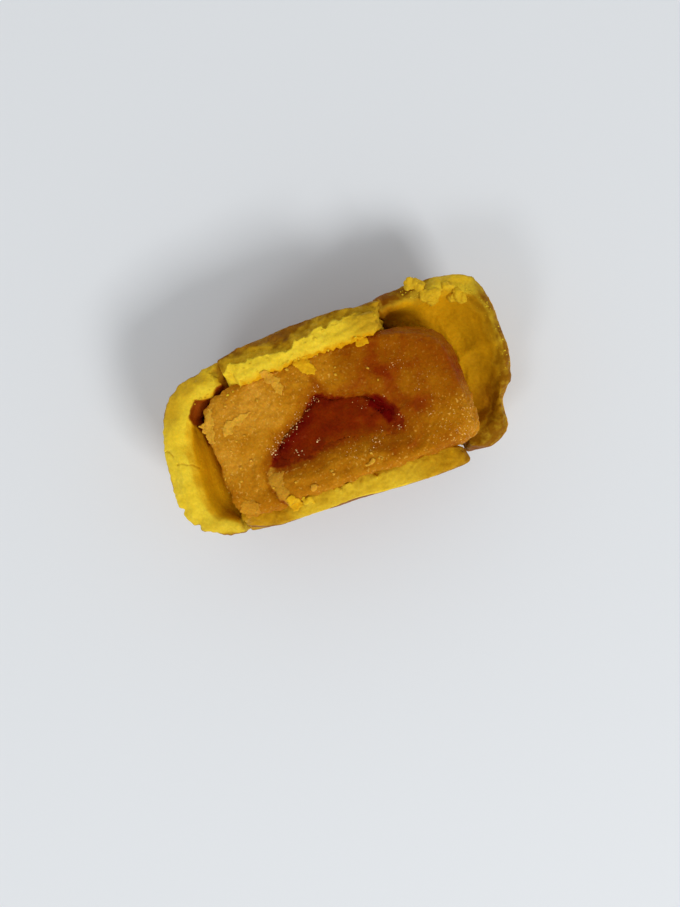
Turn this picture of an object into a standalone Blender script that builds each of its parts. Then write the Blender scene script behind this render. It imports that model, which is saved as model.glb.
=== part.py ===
"""Half of a square custard mooncake that lies on its side with the broken face up.

The pastry crust has cracked into a left end, a trough and a right end that leans out like a petal. The custard
filling stands in it, and the soft core fills a pocket in the filling up to a sunken, wet surface.
Lengths are in millimetres until MM turns them into metres. +X runs along the half cake, +Z points up out of the
broken face, and the origin is on the surface under the middle of the part.
"""

import math
from collections import namedtuple

import bmesh
import bpy
from mathutils import Matrix, Vector, noise

MM = 0.001

# Half lengths of a rounded outline to each side of the origin, and how square each quarter of it is
Outline = namedtuple("Outline", "left right down up square_ru square_lu square_ld square_rd")

# Crust: outlines of its outside and its inside, low down and at the rim, where the two ends lean outwards
OUTSIDE_LOW = Outline(22.2, 20.8, 12.2, 12.4, 4.2, 3.6, 3.8, 5.0)
OUTSIDE_RIM = Outline(25.6, 25.8, 12.6, 13.1, 6.5, 3.0, 3.5, 8.0)
INSIDE_LOW = Outline(18.9, 18.7, 10.5, 8.8, 5.0, 6.0, 8.0, 8.0)
INSIDE_RIM = Outline(21.2, 24.0, 10.5, 8.8, 5.5, 3.4, 4.8, 7.0)
# Inside wall from the rim down, as shares of the way out to the rim's plan and up to its height: it flares at the
# rim, but in the right end it makes a bowl
FLARE = ((0.66, 0.88), (0.34, 0.74), (0.1, 0.6), (0.0, 0.45))
BOWL = ((0.82, 0.5), (0.58, 0.22), (0.28, 0.06), (0.0, 0.0))
BOWL_DEPTH = 3.6
PIT = 0.62              # share of the flare's height in the pit beside the filling's upper left corner
INSIDE_FOOT = 2.6       # height of the rounding where the inside wall meets the base
LEFT_SKEW = 0.10        # the left end bulges towards its lower corner, in mm of x for each mm of y
RIGHT_SKEW, RIGHT_SKEW_INSIDE = 0.14, 0.33  # the right end's rim falls back towards its lower corner
LOWER_SKEW, LOWER_SKEW_OUTSIDE = 0.06, 0.035  # the lower side widens to the right, in mm of y for each mm of x
UPPER_FALL = 0.8        # how far the upper strip's outer edge falls back before the right crack
NOTCH_DEPTH = 1.3       # flake missing from the right end's outside, below a notch in its edge
CORNER_CUT = 1.3        # how far the right end's lower broken edge slants in
BELLY = 0.5             # how far the walls swell at half height
BASE_THICKNESS = 3.5
THIN_ARM = 1.18         # the right end's upper arm is thinner, so its inside stands further out
CRUST_STATIONS = 116

# Heights of the broken rim
LEFT_RIM = 21.3
UPPER_RIM = 23.0
LOWER_RIM = 21.2
RIGHT_RIM_HIGH = 17.6
RIGHT_RIM_LOW = 12.0
RIM_JAG = 0.45

# Rim profile: places across the wall from the outside in, and the drop below the rim height at each
ACROSS = (0.0, 0.28, 0.48, 0.76, 1.0)
END_DROPS = (1.3, 0.35, 0.0, 0.1, 0.8)
UPPER_DROPS = (3.0, 2.1, 0.5, 0.0, 0.5)
LOWER_DROPS = (0.9, 0.3, 0.0, 0.0, 0.4)

# Cracks through the crust: x at the upper wall and at the lower wall, and their widths
LEFT_CRACK = (-13.9, -18.3)
RIGHT_CRACK = (10.0, 15.3)
CRACK_UPPER_Y, CRACK_LOWER_Y = 8.0, -9.5
CRACK_WIDTH = 0.36
LEFT_CRACK_OPEN = 0.8   # further opening of the left crack where it meets the filling
RIGHT_CRACK_OPEN = 0.8  # further opening of the right crack at the lower side
CRACK_WANDER = 0.55

# Filling
FACE = 22.0
FILLING = Outline(18.4, 18.0, 10.1, 8.4, 3.2, 5.0, 10.0, 8.0)
FILLING_BASE = 3.9
FILLING_STATIONS = 92
TOP_RINGS = 8
SHARP_EDGE, ROUND_EDGE = 0.7, 3.2   # edge radius of the left end, and of the smooth right end
LEDGE_HEIGHT = 0.6      # the lower part of the face is a thicker layer with a broken left edge
LEDGE_LEFT, LEDGE_TOP = -11.8, -4.3

# Sunken core: the corners of the hollow in the face, its depth, and the deep hole at its right end
HOLLOW_CENTRE = (-1.8, -1.9)
HOLLOW_UPPER_CORNERS = ((-12.0, -4.5), (-9.7, -1.2), (-4.0, 2.3), (-2.0, 3.5), (-0.9, 2.1), (3.9, 1.1), (6.0, -0.6))
HOLLOW_LOWER_CORNERS = ((7.8, -3.0), (7.7, -5.2), (6.9, -6.5), (3.2, -5.6), (-0.4, -4.6), (-3.6, -4.4), (-6.1, -5.2))
HOLLOW_CORNERS = HOLLOW_UPPER_CORNERS + HOLLOW_LOWER_CORNERS
HOLLOW_ROUNDING = 1     # stations on each side that the hollow's corners are averaged over
POOL_DEPTH = 2.2
POOL_RISE = 1.3         # the core's surface is higher along the hollow's lower side
HOLE_CENTRE, HOLE_RADIUS, HOLE_DEPTH = (5.6, -2.2), 1.9, 2.6
CORE_GAP = 0.35
# Share of the hollow's radius, and depth under the face, from the hollow's edge to the bottom of the pocket
WALL = ((1.0, 0.0), (0.93, 0.9), (0.86, 1.8))
POCKET = ((0.80, 4.4), (0.68, 6.6), (0.5, 8.1), (0.32, 8.7))

CRUST_COLOUR = (0.72, 0.47, 0.05, 1.0)
FILLING_COLOUR = (0.44, 0.19, 0.012, 1.0)
CORE_COLOUR = (0.14, 0.012, 0.002, 1.0)


def lerp(a, b, t):
    return a + (b - a) * t


def smooth(low, high, value):
    """0 below low, 1 above high, and a soft step between them."""
    t = min(1.0, max(0.0, (value - low) / (high - low)))
    return t * t * (3.0 - 2.0 * t)


def rough(x, y, z, size, seed=0.0):
    """Even noise from about -1 to 1, with lumps of the given size."""
    return noise.noise(Vector((x / size + seed, y / size - seed, z / size + 0.37 * seed)))


def quarter(half_x, half_y, square, count):
    """count points along one quarter of a squared ellipse, evenly spaced, from its x axis to before its y axis."""
    fine = 240
    dense = []
    for i in range(fine + 1):
        angle = 0.5 * math.pi * i / fine
        x = half_x * max(0.0, math.cos(angle)) ** (2.0 / square)
        y = half_y * max(0.0, math.sin(angle)) ** (2.0 / square)
        dense.append((x, y))
    walked = [0.0]
    for (x0, y0), (x1, y1) in zip(dense, dense[1:]):
        walked.append(walked[-1] + math.hypot(x1 - x0, y1 - y0))
    points, k = [], 0
    for i in range(count):
        target = walked[-1] * i / count
        while walked[k + 1] < target:
            k += 1
        t = (target - walked[k]) / max(1e-9, walked[k + 1] - walked[k])
        points.append((lerp(dense[k][0], dense[k + 1][0], t), lerp(dense[k][1], dense[k + 1][1], t)))
    return points


def outline_points(outline, stations):
    """The outline as evenly spaced points, anticlockwise from its right end, a quarter of them in each quarter."""
    count = stations // 4
    right_up = quarter(outline.right, outline.up, outline.square_ru, count)
    up_left = quarter(outline.up, outline.left, outline.square_lu, count)
    left_down = quarter(outline.left, outline.down, outline.square_ld, count)
    down_right = quarter(outline.down, outline.right, outline.square_rd, count)
    points = [(x, y) for x, y in right_up]
    points += [(-b, a) for a, b in up_left]
    points += [(-a, -b) for a, b in left_down]
    points += [(b, -a) for a, b in down_right]
    return points


def widened(points, lower_skew=LOWER_SKEW):
    """The lower side moved out more and more towards the right."""
    return [(x, y - lower_skew * max(0.0, x) * smooth(0.0, 8.0, -y)) for x, y in points]


def skewed(points, right_skew=0.0, lower_skew=LOWER_SKEW):
    """The left end bulges towards its lower corner, and the right end falls back there."""
    moved = []
    for x, y in points:
        slant = LEFT_SKEW * y * smooth(8.0, 22.0, -x) + right_skew * min(0.0, y) * smooth(8.0, 20.0, x)
        moved.append((x + slant, y))
    return widened(moved, lower_skew)


def chipped(points):
    """The rim's outer edge with the places where the crust has broken away."""
    moved = []
    for x, y in points:
        if y > 0.0:
            y -= UPPER_FALL * smooth(2.0, 9.0, x) * (1.0 - smooth(10.2, 11.4, x))
        else:
            x -= NOTCH_DEPTH * smooth(4.9, 5.9, -y) * smooth(19.0, 21.0, x)
            y += CORNER_CUT * smooth(15.0, 15.8, x) * (1.0 - smooth(16.0, 19.5, x)) * smooth(8.0, 10.0, -y)
        moved.append((x, y))
    return moved


def moved_in(points, distance):
    """Each point moved inwards at right angles to the outline."""
    count = len(points)
    inner = []
    for i in range(count):
        x0, y0 = points[i - 1]
        x1, y1 = points[(i + 1) % count]
        length = math.hypot(x1 - x0, y1 - y0)
        nx, ny = (y1 - y0) / length, -(x1 - x0) / length
        inner.append((points[i][0] - nx * distance, points[i][1] - ny * distance))
    return inner


def crack_x(crack, y):
    """Where a crack runs at this y, in plan."""
    return lerp(crack[1], crack[0], min(1.0, max(0.0, (y - CRACK_LOWER_Y) / (CRACK_UPPER_Y - CRACK_LOWER_Y))))


def rim_height(x, y):
    """Height of the broken rim of the crust at a place in plan."""
    if x < crack_x(LEFT_CRACK, y):
        height = LEFT_RIM
    elif x > crack_x(RIGHT_CRACK, y):
        height = lerp(RIGHT_RIM_LOW, RIGHT_RIM_HIGH, smooth(-12.0, 3.0, y))
    elif y > 0.0:
        height = UPPER_RIM
    else:
        height = LOWER_RIM - 1.6 * smooth(2.0, 14.0, x) - 1.0 * smooth(10.5, 13.5, -x)
    return height + RIM_JAG * rough(x, y, 0.0, 2.1, seed=3.0)


def rim_drops(x, y):
    if crack_x(LEFT_CRACK, y) < x < crack_x(RIGHT_CRACK, y):
        return UPPER_DROPS if y > 0.0 else LOWER_DROPS
    return END_DROPS


def loft(name, rings, fanned=False):
    """A closed mesh through rings of equal length, with a flat face or a fan over the first and the last."""
    mesh = bmesh.new()
    rows = [[mesh.verts.new(Vector(point) * MM) for point in ring] for ring in rings]
    count = len(rings[0])
    for low, high in zip(rows, rows[1:]):
        for i in range(count):
            j = (i + 1) % count
            mesh.faces.new((low[i], low[j], high[j], high[i]))
    ends = [mesh.faces.new(rows[0]), mesh.faces.new(rows[-1])]
    if fanned:
        bmesh.ops.poke(mesh, faces=ends)
    bmesh.ops.triangulate(mesh, faces=mesh.faces[:])
    bmesh.ops.recalc_face_normals(mesh, faces=mesh.faces[:])
    return new_object(name, mesh)


def new_object(name, mesh):
    data = bpy.data.meshes.new(name)
    mesh.to_mesh(data)
    mesh.free()
    made = bpy.data.objects.new(name, data)
    bpy.context.scene.collection.objects.link(made)
    return made


def crust_cup():
    """The whole crust before it cracks: a cup with swelling walls, leaning ends and a ragged rim."""
    low_out = skewed(outline_points(OUTSIDE_LOW, CRUST_STATIONS), lower_skew=LOWER_SKEW_OUTSIDE)
    rim_out = chipped(skewed(outline_points(OUTSIDE_RIM, CRUST_STATIONS), RIGHT_SKEW, LOWER_SKEW_OUTSIDE))
    low_in = widened(outline_points(INSIDE_LOW, CRUST_STATIONS))
    rim_in = skewed(outline_points(INSIDE_RIM, CRUST_STATIONS), RIGHT_SKEW_INSIDE)
    rim_in = [(x, y * lerp(1.0, THIN_ARM, smooth(9.2, 11.5, x)) if y > 0.0 else y) for x, y in rim_in]
    heights = [rim_height(x, y) for x, y in rim_out]

    def between(low, rim, share):
        return [(lerp(a[0], b[0], share), lerp(a[1], b[1], share)) for a, b in zip(low, rim)]

    def lumpy(points, heights_here, amount):
        ring = []
        for (x, y), z in zip(points, heights_here):
            push = amount * rough(x, y, z, 4.0, seed=1.0)
            reach = math.hypot(x, y)
            ring.append((x * (1.0 + push / reach), y * (1.0 + push / reach), z))
        return ring

    rings = []
    for inset, z in ((3.4, 0.0), (1.7, 0.45), (0.6, 1.5), (0.0, 3.4)):
        rings.append([(x, y, z) for x, y in moved_in(low_out, inset)])
    edge = [height - rim_drops(*place)[0] for height, place in zip(heights, rim_out)]
    for share in (0.25, 0.5, 0.75):
        points = moved_in(between(low_out, rim_out, share), -BELLY * math.sin(math.pi * share))
        rings.append(lumpy(points, [lerp(3.4, z, share) for z in edge], 0.3))
    for k, across in enumerate(ACROSS):
        ring = []
        for outer, inner, height in zip(rim_out, rim_in, heights):
            x, y = lerp(outer[0], inner[0], across), lerp(outer[1], inner[1], across)
            z = height - rim_drops(*outer)[k] + RIM_JAG * rough(x, y, 0.0, 1.3, seed=7.0 + k)
            ring.append((x, y, z))
        rings.append(ring)
    rim_ring = rings[-1]
    foot = BASE_THICKNESS + INSIDE_FOOT
    for (flare_out, flare_up), (bowl_out, bowl_up) in zip(FLARE, BOWL):
        ring = []
        for low, rim in zip(low_in, rim_ring):
            bowl = smooth(8.0, 15.0, rim[0])
            pit = smooth(2.0, 6.0, rim[1]) * smooth(10.0, 14.0, -rim[0])
            out, up = lerp(flare_out, bowl_out, bowl), lerp(flare_up * lerp(1.0, PIT, pit), bowl_up, bowl)
            bottom = lerp(foot, max(foot + 0.5, rim[2] - BOWL_DEPTH), bowl)
            ring.append((lerp(low[0], rim[0], out), lerp(low[1], rim[1], out), lerp(bottom, rim[2], up)))
        rings.append(ring)
    for inset, z in ((0.0, INSIDE_FOOT), (0.5, 1.2), (1.5, 0.35), (2.8, 0.0)):
        rings.append([(x, y, BASE_THICKNESS + z) for x, y in moved_in(low_in, inset)])
    return loft("crust_cup", rings)


def crack_cutter(name, crack, widening):
    """A thin standing sheet with wandering sides, to part the crust. widening gives its extra width at a y."""
    rows, columns = 20, 34
    low_z, high_z, half_y = -2.0, 27.0, 17.0
    mesh = bmesh.new()
    sides = []
    for side in (-0.5, 0.5):
        grid = []
        for i in range(rows + 1):
            z = lerp(low_z, high_z, i / rows)
            line = []
            for j in range(columns + 1):
                y = lerp(-half_y, half_y, j / columns)
                width = CRACK_WIDTH + widening(y)
                x = crack_x(crack, y) + CRACK_WANDER * rough(0.0, y, z, 1.9, seed=crack[0])
                x += side * width * (1.0 + 0.3 * rough(5.0, y, z, 1.1, seed=crack[1]))
                line.append(mesh.verts.new(Vector((x, y, z)) * MM))
            grid.append(line)
        sides.append(grid)
    near, far = sides
    for i in range(rows):
        for j in range(columns):
            mesh.faces.new((near[i][j], near[i][j + 1], near[i + 1][j + 1], near[i + 1][j]))
            mesh.faces.new((far[i][j], far[i + 1][j], far[i + 1][j + 1], far[i][j + 1]))
    border = [(0, j) for j in range(columns)] + [(i, columns) for i in range(rows)]
    border += [(rows, j) for j in range(columns, 0, -1)] + [(i, 0) for i in range(rows, 0, -1)]
    for (i0, j0), (i1, j1) in zip(border, border[1:] + border[:1]):
        mesh.faces.new((near[i0][j0], far[i0][j0], far[i1][j1], near[i1][j1]))
    bmesh.ops.triangulate(mesh, faces=mesh.faces[:])
    bmesh.ops.recalc_face_normals(mesh, faces=mesh.faces[:])
    return new_object(name, mesh)


def left_widening(y):
    return LEFT_CRACK_OPEN * smooth(6.5, 8.0, y) * (1.0 - smooth(10.4, 12.2, y))


def right_widening(y):
    return RIGHT_CRACK_OPEN * smooth(5.0, 9.0, -y)


def cut(target, cutter):
    """Takes the cutter out of the target for good."""
    boolean = target.modifiers.new("crack", "BOOLEAN")
    boolean.operation = "DIFFERENCE"
    boolean.solver = "EXACT"
    boolean.object = cutter
    evaluated = target.evaluated_get(bpy.context.evaluated_depsgraph_get())
    data = bpy.data.meshes.new_from_object(evaluated)
    target.modifiers.clear()
    target.data = data
    bpy.data.objects.remove(cutter)


def loose_pieces(target):
    """The separate bodies in one object, as sets of vertex indices."""
    mesh = bmesh.new()
    mesh.from_mesh(target.data)
    mesh.verts.ensure_lookup_table()
    seen, pieces = set(), []
    for start in mesh.verts:
        if start.index in seen:
            continue
        piece, waiting = set(), [start]
        while waiting:
            vertex = waiting.pop()
            if vertex.index in piece:
                continue
            piece.add(vertex.index)
            waiting += [edge.other_vert(vertex) for edge in vertex.link_edges]
        seen |= piece
        pieces.append(piece)
    mesh.free()
    return pieces


def crust_pieces():
    """The crust, cracked into its left end, its trough and its right end."""
    cup = crust_cup()
    cut(cup, crack_cutter("left_crack", LEFT_CRACK, left_widening))
    cut(cup, crack_cutter("right_crack", RIGHT_CRACK, right_widening))
    largest = sorted(loose_pieces(cup), key=len)[-3:]
    largest.sort(key=lambda piece: sum(cup.data.vertices[i].co.x for i in piece) / len(piece))
    made = []
    for name, piece in zip(("crust_left", "crust_trough", "crust_right"), largest):
        mesh = bmesh.new()
        mesh.from_mesh(cup.data)
        mesh.verts.ensure_lookup_table()
        bmesh.ops.delete(mesh, geom=[v for v in mesh.verts if v.index not in piece], context="VERTS")
        made.append(new_object(name, mesh))
    bpy.data.objects.remove(cup)
    return made


def hollow_radius(angle):
    """Distance from the hollow's centre to its straight-sided outline, in this direction."""
    cx, cy = HOLLOW_CENTRE
    dx, dy = math.cos(angle), math.sin(angle)
    best = 0.0
    corners = HOLLOW_CORNERS
    for (x0, y0), (x1, y1) in zip(corners, corners[1:] + corners[:1]):
        ex, ey = x1 - x0, y1 - y0
        across = dx * ey - dy * ex
        if abs(across) < 1e-9:
            continue
        reach = ((x0 - cx) * ey - (y0 - cy) * ex) / across
        share = ((x0 - cx) * dy - (y0 - cy) * dx) / across
        if reach > 0.0 and -1e-9 <= share <= 1.0 + 1e-9:
            best = max(best, reach)
    return best


def filling_stations():
    """For each station: the filling's outline point, the direction to it from the hollow, and the hollow's radius."""
    points = widened(outline_points(FILLING, FILLING_STATIONS))
    cx, cy = HOLLOW_CENTRE
    angles = [math.atan2(y - cy, x - cx) for x, y in points]
    sharp = [hollow_radius(angle) for angle in angles]
    count = len(points)
    reach = range(-HOLLOW_ROUNDING, HOLLOW_ROUNDING + 1)
    radii = [sum(sharp[(i + k) % count] for k in reach) / len(reach) for i in range(count)]
    return points, angles, radii


def face_height(x, y):
    """Height of the filling's broken face, away from the hollow."""
    height = FACE + 0.22 * rough(x, y, 0.0, 3.2, seed=11.0)
    ledge = smooth(0.0, 0.7, x - LEDGE_LEFT + 0.5 * rough(x, y, 0.0, 1.5, seed=5.0))
    ledge *= smooth(0.0, 0.8, LEDGE_TOP - y) * (1.0 - smooth(2.0, 9.0, x))
    return height + LEDGE_HEIGHT * ledge


def edge_radius(x):
    return lerp(SHARP_EDGE, ROUND_EDGE, smooth(6.0, 14.0, x))


def hollow_ring(angles, radii, share, depth, gap=0.0):
    """A ring at a share of the hollow's radius, less a gap, and at a depth under the face."""
    cx, cy = HOLLOW_CENTRE
    ring = []
    for angle, radius in zip(angles, radii):
        reach = share * radius - gap
        x, y = cx + reach * math.cos(angle), cy + reach * math.sin(angle)
        ring.append((x, y, FACE - depth))
    return ring


def filling():
    """The block of custard: a pocket for the core, the broken face, the sides and a rounded foot."""
    points, angles, radii = filling_stations()
    rings = [hollow_ring(angles, radii, share, depth) for share, depth in reversed(WALL[1:] + POCKET)]
    edge_ring = [(x, y, face_height(x, y)) for x, y, _ in hollow_ring(angles, radii, *WALL[0])]
    rings.append(edge_ring)
    for k in range(1, TOP_RINGS + 1):
        share = k / TOP_RINGS
        ring = []
        for (px, py), (hx, hy, _) in zip(points, edge_ring):
            x, y = lerp(hx, px, share), lerp(hy, py, share)
            radius = edge_radius(x)
            from_edge = min(radius, math.hypot(px - x, py - y))
            drop = radius - math.sqrt(max(0.0, radius * radius - (radius - from_edge) ** 2))
            ring.append((x, y, face_height(x, y) - drop))
        rings.append(ring)
    for share in (0.3, 0.6, 0.9):
        z_low = FILLING_BASE + 3.2
        rings.append([(x, y, lerp(top[2], z_low, share)) for (x, y), top in zip(points, rings[-1])])
    for inset, z in ((0.5, 1.6), (1.6, 0.45), (3.2, 0.0)):
        rings.append([(x, y, FILLING_BASE + z) for x, y in moved_in(points, inset)])
    return loft("filling", rings)


def core():
    """The soft core: it fills the pocket, with a sunken, uneven surface and a deep hole near its right end."""
    _, angles, radii = filling_stations()
    rings = []
    for share, depth in reversed(POCKET):
        rings.append(hollow_ring(angles, radii, share, depth - CORE_GAP, gap=CORE_GAP))
    for share in (0.86, 0.78, 0.68, 0.54, 0.38, 0.2):
        ring = []
        for x, y, _ in hollow_ring(angles, radii, share, 0.0, gap=CORE_GAP * smooth(0.3, 0.86, share)):
            depth = POOL_DEPTH + 0.35 * rough(x, y, 0.0, 2.4, seed=2.0)
            depth -= POOL_RISE * smooth(0.6, 4.2, -y)
            away = math.hypot(x - HOLE_CENTRE[0], y - HOLE_CENTRE[1])
            depth += HOLE_DEPTH * (1.0 - smooth(0.3 * HOLE_RADIUS, HOLE_RADIUS, away)) * (1.0 - smooth(0.74, 0.86, share))
            ring.append((x, y, FACE - depth))
        rings.append(ring)
    return loft("core", rings, fanned=True)


def material(name, colour, roughness):
    made = bpy.data.materials.new(name)
    made.use_nodes = True
    shader = made.node_tree.nodes["Principled BSDF"]
    shader.inputs["Base Color"].default_value = colour
    shader.inputs["Roughness"].default_value = roughness
    shader.inputs["Metallic"].default_value = 0.0
    made.diffuse_color = colour
    return made


def finish(target, surface):
    target.data.materials.clear()
    target.data.materials.append(surface)
    target.data.shade_smooth()
    target.data.set_sharp_from_angle(angle=math.radians(40.0))


def centre(pieces):
    """Moves every piece by the same small step, so that the origin is under the middle of the part."""
    corners = [vertex.co for piece in pieces for vertex in piece.data.vertices]
    low = [min(corner[axis] for corner in corners) for axis in range(3)]
    high = [max(corner[axis] for corner in corners) for axis in range(3)]
    middle = Vector(((low[0] + high[0]) / 2.0, (low[1] + high[1]) / 2.0, low[2]))
    for piece in pieces:
        piece.data.transform(Matrix.Translation(-middle))


def main():
    for old in list(bpy.data.objects):
        bpy.data.objects.remove(old)
    pastry = material("pastry_crust", CRUST_COLOUR, 0.8)
    custard = material("custard_filling", FILLING_COLOUR, 0.45)
    molten = material("soft_core", CORE_COLOUR, 0.15)
    pieces = [(piece, pastry) for piece in crust_pieces()]
    pieces += [(filling(), custard), (core(), molten)]
    centre([piece for piece, _ in pieces])
    for piece, surface in pieces:
        finish(piece, surface)


main()
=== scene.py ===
import math
import random

import bpy
import numpy as np
from mathutils import Matrix, Vector, noise
from mathutils.bvhtree import BVHTree


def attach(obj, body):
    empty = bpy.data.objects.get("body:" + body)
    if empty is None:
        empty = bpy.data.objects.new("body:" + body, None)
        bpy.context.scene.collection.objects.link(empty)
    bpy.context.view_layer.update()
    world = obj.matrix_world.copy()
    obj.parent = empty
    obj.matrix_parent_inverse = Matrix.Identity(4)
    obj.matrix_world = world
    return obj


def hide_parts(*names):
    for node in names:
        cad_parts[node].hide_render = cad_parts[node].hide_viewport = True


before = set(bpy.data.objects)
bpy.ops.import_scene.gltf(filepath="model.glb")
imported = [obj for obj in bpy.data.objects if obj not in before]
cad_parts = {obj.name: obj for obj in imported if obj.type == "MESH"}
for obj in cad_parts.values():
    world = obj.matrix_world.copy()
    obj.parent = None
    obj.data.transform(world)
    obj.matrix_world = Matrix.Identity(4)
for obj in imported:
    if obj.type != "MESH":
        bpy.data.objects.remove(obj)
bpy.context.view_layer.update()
mm = 0.001  # shapes are worked out in millimetres


# Small tools that every piece uses

def pickOnly(*pieces):
    bpy.ops.object.select_all(action="DESELECT")
    for piece in pieces:
        piece.select_set(True)
    bpy.context.view_layer.objects.active = pieces[0]


def addShape(operator, **settings):
    bpy.ops.object.select_all(action="DESELECT")
    operator(**settings)
    return bpy.context.active_object


def applyModifiers(piece):
    pickOnly(piece)
    for modifier in list(piece.modifiers):
        bpy.ops.object.modifier_apply(modifier=modifier.name)


def voxelSkin(piece, voxel, softening):
    remesh = piece.modifiers.new("even points", "REMESH")
    remesh.mode = "VOXEL"
    remesh.voxel_size = voxel * mm
    soften = piece.modifiers.new("soften facets", "SMOOTH")
    soften.factor = 0.5
    soften.iterations = softening
    applyModifiers(piece)


def skinOfNode(node, name, look):
    # A copy of a solid with evenly spread points
    piece = bpy.data.objects.new(name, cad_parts[node].data.copy())
    bpy.context.scene.collection.objects.link(piece)
    piece.data.materials.clear()
    pickOnly(piece)
    bpy.ops.object.mode_set(mode="EDIT")
    bpy.ops.mesh.select_all(action="SELECT")
    bpy.ops.mesh.remove_doubles(threshold=0.005 * mm)
    bpy.ops.object.mode_set(mode="OBJECT")
    voxelSkin(piece, look["voxel"], look["softening"])
    return piece


def readVectors(items, name):
    values = np.empty(len(items) * 3, np.float32)
    items.foreach_get(name, values)
    return values.reshape(-1, 3).astype(float)


def pointsOf(piece):
    return readVectors(piece.data.vertices, "co") / mm


def normalsOf(piece):
    return readVectors(piece.data.vertices, "normal")


def movePoints(piece, points):
    piece.data.vertices.foreach_set("co", (points * mm).astype(np.float32).ravel())
    piece.data.update()


def divideTop(piece, low, facing):
    # Makes the faces above this height finer that face up at least this much
    centres = readVectors(piece.data.polygons, "center") / mm
    normals = readVectors(piece.data.polygons, "normal")
    pickOnly(piece)
    bpy.ops.object.mode_set(mode="EDIT")
    bpy.ops.mesh.select_mode(type="FACE")
    bpy.ops.mesh.select_all(action="DESELECT")
    bpy.ops.object.mode_set(mode="OBJECT")
    piece.data.polygons.foreach_set("select", (centres[:, 2] > low) & (normals[:, 2] > facing))
    bpy.ops.object.mode_set(mode="EDIT")
    bpy.ops.mesh.subdivide(number_cuts=1)
    bpy.ops.object.mode_set(mode="OBJECT")


def ramp(low, high, values):
    t = np.clip((values - low) / (high - low), 0.0, 1.0)
    return t * t * (3.0 - 2.0 * t)


def lumps(points, size, seed=0.0):
    shift = Vector((7.31 * seed, -3.17 * seed, 5.03 * seed))
    return np.array([noise.noise(Vector(point) / size + shift) for point in points])


def ripples(points, *layers):
    # Lumps of several sizes added up: each layer is its height, its size and its seed
    return sum(height * lumps(points, size, seed) for height, size, seed in layers)


def pebbles(points, size, seed=0.0):
    # High at the middle of each packed crumb, nothing where two of them meet
    shift = Vector((7.31 * seed, -3.17 * seed, 5.03 * seed))
    found = []
    for point in points:
        near = noise.voronoi(Vector(point) / size + shift)[0]
        found.append(near[1] - near[0])
    return np.array(found)


def flat(points):
    level = points.copy()
    level[:, 2] = 0.0
    return level


def distanceToPath(points, path):
    # Plan distance from each point to a path of straight runs
    best = np.full(len(points), 1e9)
    for (x0, y0), (x1, y1) in zip(path, path[1:]):
        run = np.array([x1 - x0, y1 - y0])
        away = points[:, :2] - (x0, y0)
        share = np.clip(away @ run / (run @ run), 0.0, 1.0)
        best = np.minimum(best, np.hypot(*(away - share[:, None] * run).T))
    return best


def insideOutline(points, outline):
    # Plan distance to a closed outline, above zero inside it
    x, y = points[:, 0], points[:, 1]
    closed = list(outline) + [outline[0]]
    within = np.zeros(len(points), bool)
    for (x0, y0), (x1, y1) in zip(closed, closed[1:]):
        if y1 != y0:
            crosses = (y0 > y) != (y1 > y)
            within ^= crosses & (x < x0 + (y - y0) / (y1 - y0) * (x1 - x0))
    away = distanceToPath(points, closed)
    return np.where(within, away, -away)


def alongPath(values, path):
    # The second number of a path at these values of its first
    table = np.array(path)
    return np.interp(values, table[:, 0], table[:, 1])


def planDistance(x, y, spot):
    return np.hypot(x - spot[0], y - spot[1])


def most(first, *others):
    # The highest of several layers, point by point
    for other in others:
        first = np.maximum(first, other)
    return first


def paint(piece, **layers):
    # A number from 0 to 1 at every point, for each named layer
    for name, values in layers.items():
        layer = piece.data.attributes.new(name, "FLOAT", "POINT")
        values = np.zeros(len(piece.data.vertices)) + np.clip(values, 0.0, 1.0)
        layer.data.foreach_set("value", values.astype(np.float32))


def dress(piece, material, slot, *nodes):
    piece.data.materials.append(material)
    piece.data.shade_smooth()
    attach(piece, "root")
    if nodes:
        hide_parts(*nodes)
    print(piece.name, "has", len(piece.data.polygons), "faces")


def surfaceTree(*pieces):
    points, faces = [], []
    for piece in pieces:
        start = len(points)
        points += [vertex.co / mm for vertex in piece.data.vertices]
        faces += [[start + i for i in polygon.vertices] for polygon in piece.data.polygons]
    return BVHTree.FromPolygons(points, faces)


def surfaceUnder(surface, x, y):
    # The highest place of a surface at this place in plan, and its normal
    start, down = Vector((x, y, 60.0)), Vector((0.0, 0.0, -1.0))
    return surface.ray_cast(start, down)[:2]


# Materials

def tone(red, green, blue):
    # A colour as a picture shows it, 0 to 255
    def linear(value):
        value /= 255.0
        return value / 12.92 if value <= 0.04045 else ((value + 0.055) / 1.055) ** 2.4
    return linear(red), linear(green), linear(blue), 1.0


def newMaterial(name):
    material = bpy.data.materials.new(name)
    material.use_nodes = True
    return material, material.node_tree.nodes["Principled BSDF"]


def addNode(tree, kind, sockets, **properties):
    # Each socket gets a value, or the output of another node
    node = tree.nodes.new("ShaderNode" + kind)
    for name, value in properties.items():
        setattr(node, name, value)
    for name, value in sockets.items():
        if isinstance(value, bpy.types.NodeSocket):
            tree.links.new(value, node.inputs[name])
        else:
            node.inputs[name].default_value = value
    return node


def grain(tree, size, detail):
    # Noise with lumps of this size in millimetres
    place = addNode(tree, "TexCoord", {}).outputs["Object"]
    sockets = {"Vector": place, "Scale": 1.0 / (size * mm), "Detail": detail, "Roughness": 0.55}
    return addNode(tree, "TexNoise", sockets).outputs["Fac"]


def remap(tree, value, low, high, toLow=0.0, toHigh=1.0):
    sockets = {"Value": value, "From Min": low, "From Max": high, "To Min": toLow, "To Max": toHigh}
    return addNode(tree, "MapRange", sockets).outputs["Result"]


def clouds(tree, size, detail, low, high):
    # Noise with lumps of this size, spread over this range
    return remap(tree, grain(tree, size, detail), 0.3, 0.7, low, high)


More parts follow.
